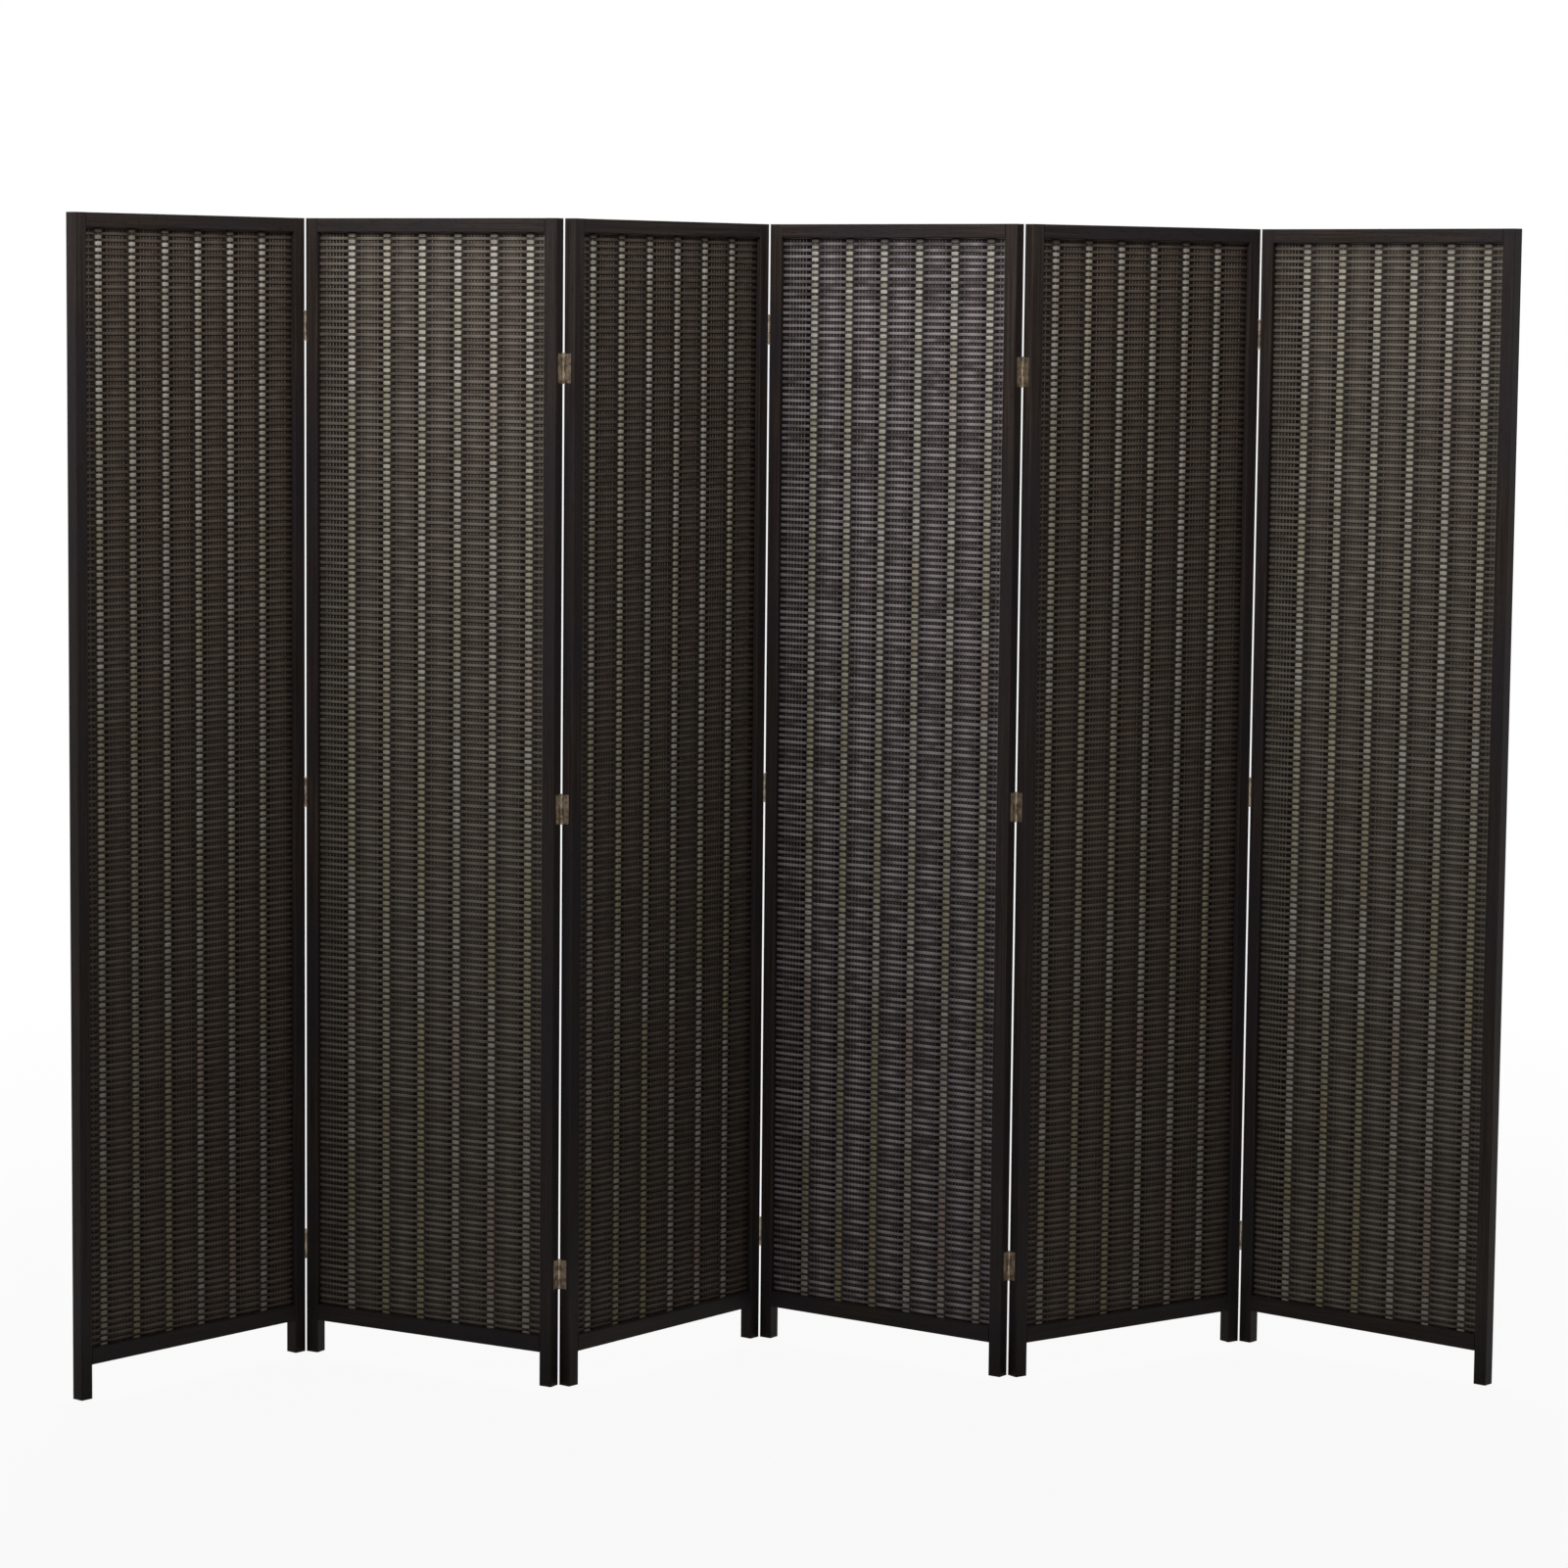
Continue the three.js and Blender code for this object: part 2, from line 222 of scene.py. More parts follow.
def bump(
    graph: Graph, shader: bpy.types.Node, height: object, depth: float, strength: float
) -> None:
    """Puts a bump on the shader.

    Args:
        graph: The tree.
        shader: The shader that gets it.
        height: The height, from 0 to 1.
        depth: How deep that is, in metres.
        strength: How much of it shows.
    """
    inputs = {"Strength": strength, "Distance": depth, "Height": height}
    node = graph.add("ShaderNodeBump", inputs)
    graph.feed(shader.inputs["Normal"], node.outputs[0])


class Grain(Enum):
    """Which way the timber's grain runs."""

    UPRIGHT = "upright"
    LEVEL = "level"


@dataclass(frozen=True)
class StainedWood(Finish):
    """Straight-grained timber under a near-black brown stain and a satin lacquer."""

    name: str
    grain: Grain
    heading: float = 0.0
    fibre_length: float = 160 * MM
    fibre_width: float = 3.2 * MM
    fibre_detail: float = 4.0
    dark_fibre: Colour = paint(38, 32, 28)
    light_fibre: Colour = paint(63, 54, 49)
    cloud_scale: float = 5.0
    cloud_colour: Colour = paint(47, 42, 44)
    pore_length: float = 14 * MM
    pore_width: float = 0.55 * MM
    pore_span: Pair = (0.60, 0.70)
    pore_colour: Colour = paint(15, 12, 11)
    # Painted shade: below this height the boards darken towards the floor.
    floor_shade_height: float = 130 * MM
    most_floor_shade: float = 0.85
    floor_shade_colour: Colour = paint(14, 10, 7)
    scuff_height: float = 34 * MM
    scuff_scale: float = 220.0
    scuff_detail: float = 3.0
    scuff_span: Pair = (0.52, 0.72)
    scuff_colour: Colour = paint(44, 34, 27)
    fibre_roughness: Pair = (0.16, 0.36)
    pore_roughness: float = 0.15
    specular: float = 0.06
    fibre_relief: float = 0.5
    relief_depth: float = 0.12 * MM
    relief_strength: float = 0.45

    def along(self, graph: Graph, length: float, width: float) -> Socket:
        """Turns Object coordinates along the grain and stretches them.

        Args:
            graph: The tree.
            length: The pattern's length along the grain.
            width: Its width across the grain.

        Returns:
            The vector in units of the pattern.
        """
        place = graph.add("ShaderNodeTexCoord").outputs["Object"]
        upright = self.grain is Grain.UPRIGHT
        scale = (width, width, length) if upright else (length, width, width)
        inputs = {"Vector": place, "Rotation": (0, 0, self.heading), "Scale": scale}
        return graph.add("ShaderNodeMapping", inputs, vector_type="TEXTURE").outputs[0]

    def shade(self, graph: Graph, shader: bpy.types.Node) -> None:
        """Feeds the shader's inputs: figure, pores, cloudy stain, painted shade towards the floor
        and scuffed feet.
        """
        maths = graph.maths
        fibres = self.along(graph, self.fibre_length, self.fibre_width)
        figure = graph.noise(fibres, 1.0, self.fibre_detail)
        pores = graph.noise(self.along(graph, self.pore_length, self.pore_width), 1.0)
        place = graph.add("ShaderNodeTexCoord").outputs["Object"]
        clouds = graph.noise(place, self.cloud_scale)
        height = graph.axes(place)[2]

        figured = window(graph, figure, *NOISE_SPAN)
        clouded = window(graph, clouds, *NOISE_SPAN)
        open_pores = window(graph, pores, *self.pore_span)
        stained = blend(graph, figured, self.dark_fibre, self.light_fibre)
        stained = blend(graph, clouded, stained, self.cloud_colour)
        stained = blend(graph, open_pores, stained, self.pore_colour)
        # Painted shade: the stain darkens towards the floor.
        floor_shade = maths("MULTIPLY", window(graph, height, self.floor_shade_height, 0.0), self.most_floor_shade)
        stained = blend(graph, floor_shade, stained, self.floor_shade_colour)
        low = window(graph, height, self.scuff_height, 0.0)
        rubbed = graph.noise(place, self.scuff_scale, self.scuff_detail)
        scuffs = maths("MULTIPLY", low, window(graph, rubbed, *self.scuff_span))
        graph.feed(shader.inputs["Base Color"], blend(graph, scuffs, stained, self.scuff_colour))

        rough = maths("MULTIPLY_ADD", figure, *self.fibre_roughness)
        rough = maths("MULTIPLY_ADD", open_pores, self.pore_roughness, rough)
        graph.feed(shader.inputs["Roughness"], rough)
        shader.inputs["Specular IOR Level"].default_value = self.specular
        relief = maths("SUBTRACT", maths("MULTIPLY", figure, self.fibre_relief), open_pores)
        bump(graph, shader, relief, self.relief_depth, self.relief_strength)


class SlatTone(Enum):
    """A panel's slat colours: of the ridges, and of the darker stain between them, which also
    paints the shade where slats lie behind.
    """

    BROWN = (paint(102, 91, 82), paint(73, 60, 52))
    UMBER = (paint(94, 83, 74), paint(62, 50, 43))
    GREY = (paint(124, 116, 107), paint(83, 73, 65))
    # Painted reflection: a pale bluish sheen on the ridges of panel 4.
    LILAC_REFLECTION = (paint(164, 154, 159), paint(63, 55, 54))


# The lighter GREY of panels 2 and 6, which face the key lamps, and the darker BROWN and UMBER of
# panels 1, 3 and 5, which turn from them, are partly painted light and shade.
PANEL_TONES = (
    SlatTone.BROWN, SlatTone.GREY, SlatTone.UMBER, SlatTone.LILAC_REFLECTION, SlatTone.BROWN, SlatTone.GREY,
)


@dataclass(frozen=True)
class WovenSlat(Finish):
    """Stained flat slats: rubbed pale, partly a painted highlight, where they come over the warp,
    and darker with painted shade where they lie behind it.
    """

    name: str
    tone: SlatTone
    # Painted shade: the near-black of the hollows and of the slats' long edges.
    shade_colour: Colour = paint(20, 16, 13)
    # The pale crest colours: rubbed fibre that is partly a painted highlight.
    crest_and_highlight_low: Colour = paint(170, 163, 150)
    crest_and_highlight_high: Colour = paint(212, 207, 197)
    olive: Colour = paint(174, 165, 127)
    rose: Colour = paint(184, 161, 148)
    olive_span: Pair = (0.48, 0.58)
    rose_span: Pair = (0.46, 0.37)
    tint_line: Pair = (-0.75, 1.0)
    dye_cycles: float = 3.0
    dye_step: float = 7.3
    column_pitch: float = COLUMN_PITCH
    cord_pitch: float = CORD_PITCH
    mat_span: Pair = (0.05, 1.75)
    # Painted light: how pale the crests show at the foot and at the top of the mat, on top of the
    # rubbed wear.
    least_rub_and_light: float = 0.50
    most_rub_and_light: float = 0.88
    rub_power: float = 2.0
    rub_streaks: Pair = (0.5, 0.75)
    # Painted shadow: above this span, in the top rail's shadow, the crests stay dark.
    rail_shadow_span: Pair = (1.728, 1.708)
    fibre_cycles: Pair = (60.0, 1500.0)
    fibre_detail: float = 3.0
    patch_cycles: float = 24.0
    patch_gain: float = 1.7
    tone_gain: float = 0.4
    lit_span: Pair = (0.72, 1.38)
    lit_line: Pair = (1.2, 0.24)
    beat_line: Pair = (0.35, 0.70)
    hollow_shade_span: Pair = (0.0, 1.1)
    edge_shade_span: Pair = (0.6, 1.05)
    streak_span: Pair = (0.55, 0.25)
    streak_share: float = 0.35
    roughness: Pair = (0.25, 0.42)
    specular: float = 0.12
    relief_depth: float = 0.10 * MM
    relief_strength: float = 0.5

    def _crest(self, graph: Graph, column: object, z: object, tone: object) -> Socket:
        """Colours the crests.

        Args:
            graph: The tree.
            column: The column's number.
            z: The height.
            tone: The slat's own tone, from 0 to 1.

        Returns:
            The rubbed colour, with olive and rose patches that fade up the mat.
        """
        maths = graph.maths
        step = maths("MULTIPLY", column, self.dye_step)
        dye = graph.noise(graph.vector(step, 0.0, maths("MULTIPLY", z, self.dye_cycles)), 1.0)
        tint = maths("MULTIPLY_ADD", window(graph, z, *self.mat_span), *self.tint_line)
        pale = blend(graph, tone, self.crest_and_highlight_low, self.crest_and_highlight_high)
        for span, colour in ((self.olive_span, self.olive), (self.rose_span, self.rose)):
            pale = blend(graph, maths("MULTIPLY", window(graph, dye, *span), tint), pale, colour)
        return pale

    def shade(self, graph: Graph, shader: bpy.types.Node) -> None:
        """Feeds the shader's inputs: streaks, tones, crests rubbed pale with a painted highlight
        that grows up the mat by painted light, painted shadow under the rail, painted shade in
        hollows and along edges.
        """
        maths = graph.maths

        def read(name: str) -> bpy.types.Node:
            """Reads one of the mat's own attributes."""
            return graph.add("ShaderNodeAttribute", attribute_name=name)

        names = ("crest", "ridge", "hollow_shade", "edge", "tone")
        crest, ridge, hollow_shade, edge, tone = (read(name).outputs["Fac"] for name in names)
        x, own, z = graph.axes(read("weave_place").outputs["Vector"])
        run, rise = self.fibre_cycles
        fine = graph.vector(maths("MULTIPLY", x, run), own, maths("MULTIPLY", z, rise))
        fibres = graph.noise(fine, 1.0, self.fibre_detail)
        long = graph.noise(graph.vector(maths("MULTIPLY", x, self.patch_cycles), own, 0.0), 1.0)

        column = maths("FLOOR", maths("DIVIDE", x, self.column_pitch))
        pale = self._crest(graph, column, z, tone)

        patches = maths("MULTIPLY", long, self.patch_gain)
        lit = maths("MULTIPLY_ADD", tone, self.tone_gain, patches)
        lit = window(graph, lit, *self.lit_span)
        turns = maths("MULTIPLY", x, 2 * math.pi / self.cord_pitch)
        beat = maths("MULTIPLY_ADD", maths("COSINE", turns), 0.5, 0.5)
        lit = maths("MULTIPLY_ADD", lit, *self.lit_line)
        # Painted shade: where the ridge is low the slat lies behind and shows the darker stain.
        ridged = maths("MULTIPLY", ridge, lit, clamp=True)
        ridged = maths("MULTIPLY", ridged, maths("MULTIPLY_ADD", beat, *self.beat_line))
        ridge_colour, stain = self.tone.value
        body = blend(graph, ridged, stain, ridge_colour)
        # Painted light: the pale crests grow stronger up the mat, on top of the rubbed wear.
        height = window(graph, z, *self.mat_span)
        rub_and_light = maths("MULTIPLY_ADD", height, self.most_rub_and_light - self.least_rub_and_light, self.least_rub_and_light)
        rub_and_light = maths("MULTIPLY", rub_and_light, maths("MULTIPLY_ADD", fibres, *self.rub_streaks))
        rub_and_light = maths("MULTIPLY", rub_and_light, maths("POWER", crest, self.rub_power), clamp=True)
        # Painted shadow: no pale crest just under the top rail.
        rub_and_light = maths("MULTIPLY", rub_and_light, window(graph, z, *self.rail_shadow_span))
        body = blend(graph, rub_and_light, body, pale)
        # Painted shade: the hollows where a slat dives through the weave go nearly black.
        body = blend(graph, window(graph, hollow_shade, *self.hollow_shade_span), body, self.shade_colour)
        # Painted shade: the slats darken along their long edges, where they meet.
        body = blend(graph, window(graph, edge, *self.edge_shade_span), body, self.shade_colour)
        shaded = blend(graph, window(graph, fibres, *self.streak_span), body, stain)
        graph.feed(shader.inputs["Base Color"], blend(graph, self.streak_share, body, shaded))

        graph.feed(shader.inputs["Roughness"], maths("MULTIPLY_ADD", fibres, *self.roughness))
        shader.inputs["Specular IOR Level"].default_value = self.specular
        bump(graph, shader, fibres, self.relief_depth, self.relief_strength)


@dataclass(frozen=True)
class WarpCord(Finish):
    """Dark twisted cord that binds the slats."""

    name: str = "warp_cord"
    twist_pitch: float = 1.6 * MM
    twist_lean: float = 0.8
    strand_low: Colour = paint(70, 64, 58)
    strand_high: Colour = paint(128, 121, 111)
    dye: Colour = paint(95, 88, 80)
    dye_scale: float = 160.0
    roughness: float = 0.85
    specular: float = 0.15
    relief_depth: float = 0.2 * MM
    relief_strength: float = 0.6

    def shade(self, graph: Graph, shader: bpy.types.Node) -> None:
        """Feeds the shader's inputs: a twist along the height and uneven dye."""
        maths = graph.maths
        place = graph.add("ShaderNodeTexCoord").outputs["Object"]
        x, y, z = graph.axes(place)
        lean = maths("ADD", z, maths("MULTIPLY", maths("ADD", x, y), self.twist_lean))
        turn = maths("MULTIPLY", lean, 2 * math.pi / self.twist_pitch)
        twist = maths("MULTIPLY_ADD", maths("SINE", turn), 0.5, 0.5)
        uneven = graph.noise(place, self.dye_scale)
        strand = blend(graph, twist, self.strand_low, self.strand_high)
        graph.feed(shader.inputs["Base Color"], blend(graph, uneven, strand, self.dye))
        shader.inputs["Roughness"].default_value = self.roughness
        shader.inputs["Specular IOR Level"].default_value = self.specular
        bump(graph, shader, twist, self.relief_depth, self.relief_strength)


@dataclass(frozen=True)
class AgedBrass(Finish):
    """Dull antique brass with darker patina."""

    name: str = "antique_brass"
    dull: Colour = paint(152, 140, 124)
    bright: Colour = paint(184, 171, 154)
    patina: Colour = paint(112, 101, 88)
    cloud_scale: float = 120.0
    cloud_detail: float = 4.0
    patina_span: Pair = (0.42, 0.62)
    scratch_cycles: Triple = (900, 900, 60)
    roughness: Pair = (0.35, 0.25)
    relief_depth: float = 0.03 * MM
    relief_strength: float = 0.3

    def shade(self, graph: Graph, shader: bpy.types.Node) -> None:
        """Feeds the shader's inputs: patina clouds, fine scratches and bump."""
        place = graph.add("ShaderNodeTexCoord").outputs["Object"]
        clouds = graph.noise(place, self.cloud_scale, self.cloud_detail)
        inputs = {"Vector": place, "Scale": self.scratch_cycles}
        scratches = graph.noise(graph.add("ShaderNodeMapping", inputs).outputs[0], 1.0)
        metal = blend(graph, scratches, self.dull, self.bright)
        metal = blend(graph, window(graph, clouds, *self.patina_span), metal, self.patina)
        graph.feed(shader.inputs["Base Color"], metal)
        rough = graph.maths("MULTIPLY_ADD", clouds, *self.roughness)
        graph.feed(shader.inputs["Roughness"], rough)
        shader.inputs["Metallic"].default_value = 1.0
        bump(graph, shader, scratches, self.relief_depth, self.relief_strength)


# ---- Geometry trees ----


class PartTree:
    """A geometry node tree with named inputs that makes the mesh of one kind of part."""

    def __init__(self, name: str) -> None:
        """Starts a tree with one geometry input and one geometry output."""
        self.tree = bpy.data.node_groups.new(name, "GeometryNodeTree")
        self.graph = Graph(self.tree)
        self.sockets: dict[str, str] = {}
        for way in ("INPUT", "OUTPUT"):
            self.tree.interface.new_socket("Geometry", in_out=way, socket_type="NodeSocketGeometry")
        self.source = self.graph.add("NodeGroupInput")
        self.result = self.graph.add("NodeGroupOutput")

    def _input(self, name: str, kind: str) -> Socket:
        """Adds a named input of a kind and returns its socket."""
        item = self.tree.interface.new_socket(name, in_out="INPUT", socket_type=kind)
        self.sockets[name] = item.identifier
        return next(s for s in self.source.outputs if s.identifier == item.identifier)

    def number(self, name: str) -> Socket:
        """Adds a named number."""
        return self._input(name, "NodeSocketFloat")

    def count(self, name: str) -> Socket:
        """Adds a named whole number."""
        return self._input(name, "NodeSocketInt")

    def finish(self, name: str) -> Socket:
        """Adds a named material."""
        return self._input(name, "NodeSocketMaterial")

    def shape(self, kind: str, inputs: dict | None = None, **settings: object) -> Socket:
        """Adds a geometry node and returns its first output."""
        return self.graph.add(f"GeometryNode{kind}", inputs, **settings).outputs[0]

    def attribute(self, name: str) -> Socket:
        """Reads a named number that the geometry carries."""
        return self.shape("InputNamedAttribute", {"Name": name}, data_type="FLOAT")

    def position(self) -> list[Socket]:
        """Reads where each point is, axis by axis."""
        return self.graph.axes(self.shape("InputPosition"))

    def join(self, *parts: Socket) -> Socket:
        """Joins geometries.

        Args:
            *parts: The geometries.

        Returns:
            All of them as one.
        """
        node = self.graph.add("GeometryNodeJoinGeometry")
        for part in parts:
            self.graph.feed(node.inputs[0], part)
        return node.outputs[0]

    def smooth(self, instances: Socket) -> Socket:
        """Makes instances real and shades them smooth."""
        real = self.shape("RealizeInstances", {"Geometry": instances})
        return self.shape("SetShadeSmooth", {"Geometry": real})

    def coated(self, geometry: Socket, finish: Socket) -> Socket:
        """Gives a geometry its finish."""
        return self.shape("SetMaterial", {"Geometry": geometry, "Material": finish})

    def end(self, geometry: Socket) -> None:
        """Links the tree's output."""
        self.graph.feed(self.result.inputs[0], geometry)

    def grow(self, mesh: bpy.types.Mesh, values: dict[str, object]) -> bpy.types.Mesh:
        """Runs the tree.

        Args:
            mesh: The mesh that goes in.
            values: The value of each named input.

        Returns:
            The plain mesh that comes out.
        """
        holder = bpy.data.objects.new("holder", mesh)
        bpy.context.scene.collection.objects.link(holder)
        modifier = holder.modifiers.new("parts", "NODES")
        modifier.node_group = self.tree
        for name, value in values.items():
            modifier[self.sockets[name]] = value
        depsgraph = bpy.context.evaluated_depsgraph_get()
        evaluated = holder.evaluated_get(depsgraph)
        grown = bpy.data.meshes.new_from_object(evaluated, depsgraph=depsgraph)
        bpy.data.objects.remove(holder)
        return grown


def show(name: str, mesh: bpy.types.Mesh) -> bpy.types.Object:
    """Makes a mesh a piece of the scene, with its object at the origin."""
    mesh.name = name
    piece = bpy.data.objects.new(name, mesh)
    bpy.context.scene.collection.objects.link(piece)
    return piece


# ---- Sub-assemblies ----


@dataclass(frozen=True)
class Stand:
    """Where one panel stands: the middle of its width and thickness, and its heading."""

    number: int
    centre: Vector
    along: Vector
    half_width: float

    stile_face: ClassVar[float] = 21 * MM

    @classmethod
    def of(cls, number: int) -> "Stand":
        """Works out a panel's place from its two stiles.

        Args:
            number: The panel's number, from 1 at the left.

        Returns:
            The panel's place.
        """
        middles = []
        for side in ("left", "right"):
            low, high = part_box(f"panel_{number}_{side}_stile")
            middles.append((low + high) / 2)
        span = middles[1] - middles[0]
        centre = (middles[0] + middles[1]) / 2
        return cls(number, centre, span.normalized(), span.length / 2 + cls.stile_face / 2)

    @property
    def body(self) -> str:
        """The body that the panel's pieces ride on."""
        return f"panel_{self.number}"

    @property
    def heading(self) -> float:
        """The panel's direction from +X, in radians."""
        return math.atan2(self.along.y, self.along.x)

    def placing(self) -> Matrix:
        """The matrix from the panel's own frame, on the floor, to the row frame."""
        floor = Matrix.Translation((self.centre.x, self.centre.y, 0))
        return floor @ Matrix.Rotation(self.heading, 4, "Z")


@dataclass(frozen=True)
class Course:
    """How one set of slats passes a column of warp.

    Each tuple has four values: at the column's middle, at its edge, past the crossing and midway
    to the next column. Layers run from -1 at the front to 1 at the back. The salt sets its random
    draws apart from the other's.
    """

    salt: int
    shift: float
    edge_at: float
    crossed_at: float
    layers: Quad
    heights: Quad
    # Crest: where the slat shows pale, rubbed and partly a painted highlight.
    crest: Quad
    # Ridge: low where the slat lies behind, so that the darker stain paints shade there.
    ridge: Quad
    # Hollow shade: painted shade where the slat dives through the weave, or lies behind near a
    # column.
    hollow_shade: Quad


OVER_COLUMNS = Course(
    salt=0, shift=0.0, edge_at=5.4 * MM, crossed_at=7.8 * MM, layers=(-1, -1, 1, 1),
    heights=(6.8 * MM, 6.0 * MM, 8.4 * MM, 8.6 * MM),
    crest=(1, 1, 0, 0), ridge=(0, 0, 0, 0), hollow_shade=(0, 0, 1.4, -0.2),
)
UNDER_COLUMNS = Course(
    salt=50, shift=0.5, edge_at=6.2 * MM, crossed_at=12.5 * MM, layers=(1, 1, -1, -1),
    heights=(6.6 * MM, 5.8 * MM, 4.9 * MM, 5.4 * MM),
    crest=(0, 0, 0, 0), ridge=(0.5, 0.3, 0.55, 1), hollow_shade=(0.1, 0.4, 0.15, 0),
)


@dataclass
class WovenMat:
    """Two sets of slats that swap layers at narrow columns, bound by warp cords."""

    column_count: int = 6
    column_pitch: float = COLUMN_PITCH
    column_offset: float = 14 * MM
    row_pitch: float = 9.6 * MM
    slat_thickness: float = 1.35 * MM
    crest_swell: float = 0.15
    flat_share: float = 0.72
    layer_depth: float = 1.35 * MM
    height_salt: int = 10
    height_spread: float = 0.05
    tone_salt: int = 20
    place_spread: float = 0.14 * MM
    ripple: float = 1.0 * MM
    cord_count: int = 6
    cord_pitch: float = CORD_PITCH
    cord_width: float = 2.0 * MM
    tape_width: float = 3.0 * MM
    cord_thickness: float = 0.8 * MM
    section_sides: int = 6
    tip_from: float = 0.75
    stations_per_column: int = 6
    middle_station: float = 2.0
    wave_cycles: Pair = (28.0, 24.0)
    pattern_step: float = 90.0
    groove_hold: float = 5.7 * MM
    tree: PartTree = field(init=False)

    def __post_init__(self) -> None:
        """Builds the tree once for all six mats."""
        self.tree = PartTree("woven_mat")
        names = ("Length", "Column offset", "Bottom", "Row pitch", "Cord bottom", "Cord height")
        size = {name: self.tree.number(name) for name in names}
        size["Rows"] = self.tree.count("Rows")
        size["Seed"] = self.tree.count("Seed")
        size["Slat finish"] = self.tree.finish("Slat finish")
        size["Cord finish"] = self.tree.finish("Cord finish")
        slats = [self._slats(size, course) for course in (OVER_COLUMNS, UNDER_COLUMNS)]
        self.tree.end(self.tree.join(*slats, self._cords(size), self._tapes(size)))

    def _column_middle(self, size: dict, column: object) -> Socket:
        """The X of a column's middle, from its number."""
        graph = self.tree.graph
        steps = graph.maths("SUBTRACT", column, (self.column_count - 1) / 2)
        return graph.maths("MULTIPLY_ADD", steps, self.column_pitch, size["Column offset"])

    def _store(
        self, geometry: object, name: str, value: object, kind: str = "FLOAT",
        domain: str = "POINT",
    ) -> Socket:
        """Stores a named attribute.

        Args:
            geometry: The geometry that gets it.
            name: The attribute's name.
            value: Its value.
            kind: Its data type.
            domain: The elements that hold it.

        Returns:
            The geometry with the attribute.
        """
        inputs = {"Geometry": geometry, "Name": name, "Value": value}
        return self.tree.shape("StoreNamedAttribute", inputs, data_type=kind, domain=domain)

    def _slat(self, size: dict, course: Course) -> Socket:
        """Shapes one slat along X from a bar, station by station.

        Args:
            size: The tree's inputs.
            course: How it passes the columns.

        Returns:
            The slat with its attributes.
        """
        graph = self.tree.graph
        maths = graph.maths
        segments = self.column_count * self.stations_per_column + 1
        bar = self.tree.shape("MeshCylinder", {
            "Vertices": self.section_sides, "Side Segments": segments, "Radius": 1.0, "Depth": 1.0,
        })
        up, across, run = self.tree.position()

        station = maths("ROUND", maths("MULTIPLY", maths("ADD", run, 0.5), segments))
        is_first = maths("LESS_THAN", station, 0.5)
        is_last = maths("GREATER_THAN", station, segments - 0.5)
        kept = maths("SUBTRACT", 1.0, maths("ADD", is_first, is_last))
        inner = maths("SUBTRACT", station, 1.0)
        column = maths("FLOOR", maths("DIVIDE", inner, self.stations_per_column))
        step = maths("FLOORED_MODULO", inner, self.stations_per_column)
        step = maths("SUBTRACT", step, self.middle_station)
        last_reach = len(course.layers) - 1
        at_end = maths("MULTIPLY", maths("SUBTRACT", 1.0, kept), float(last_reach))
        reach = maths("MAXIMUM", maths("ABSOLUTE", step), at_end)
        shares = [maths("SUBTRACT", reach, float(start), clamp=True) for start in range(last_reach)]

        def by_reach(values: tuple[float, ...]) -> Socket:
            """Picks the course's value at this station."""
            value = float(values[0])
            for share, low, high in zip(shares, values, values[1:]):
                value = maths("MULTIPLY_ADD", share, float(high - low), value)
            return value

        offset = by_reach((0.0, course.edge_at, course.crossed_at, self.column_pitch / 2))
        middle = self._column_middle(size, column)
        along = maths("MULTIPLY_ADD", maths("SIGN", step), offset, middle)
        half_length = maths("MULTIPLY", size["Length"], 0.5)
        ends = maths("MULTIPLY", maths("SUBTRACT", is_last, is_first), half_length)
        x = maths("MULTIPLY_ADD", along, kept, ends)

        flat = math.sin(2 * math.pi / self.section_sides)
        crest = by_reach(course.crest)
        half = maths("MULTIPLY_ADD", crest, self.crest_swell, 1.0)
        half = maths("MULTIPLY", half, -self.slat_thickness / 2 / flat)
        layer = maths("MULTIPLY", by_reach(course.layers), self.layer_depth)
        y = maths("MULTIPLY_ADD", across, half, layer)
        is_tip = maths("GREATER_THAN", maths("ABSOLUTE", up), self.tip_from)
        height_share = maths("MULTIPLY_ADD", is_tip, 1 - self.flat_share, self.flat_share)
        signed = maths("MULTIPLY", maths("SIGN", up), height_share)
        z = maths("MULTIPLY", maths("MULTIPLY", signed, by_reach(course.heights)), 0.5)

        marks = {
            "crest": crest, "ridge": by_reach(course.ridge), "hollow_shade": by_reach(course.hollow_shade),
            # How near the slat's long edges a point is, used for painted shade there.
            "edge": maths("ABSOLUTE", up),
        }
        for name, value in marks.items():
            bar = self._store(bar, name, value)
        inputs = {"Geometry": bar, "Position": graph.vector(x, y, z)}
        return self.tree.shape("SetPosition", inputs)

    def _random(self, size: dict, low: float, high: float, salt: int) -> Socket:
        """A random number for each element, between two values."""
        graph = self.tree.graph
        node = graph.add("FunctionNodeRandomValue", data_type="FLOAT")
        graph.feed(node.inputs[2], low)
        graph.feed(node.inputs[3], high)
        graph.feed(node.inputs["Seed"], graph.maths("ADD", size["Seed"], float(salt)))
        return node.outputs[1]

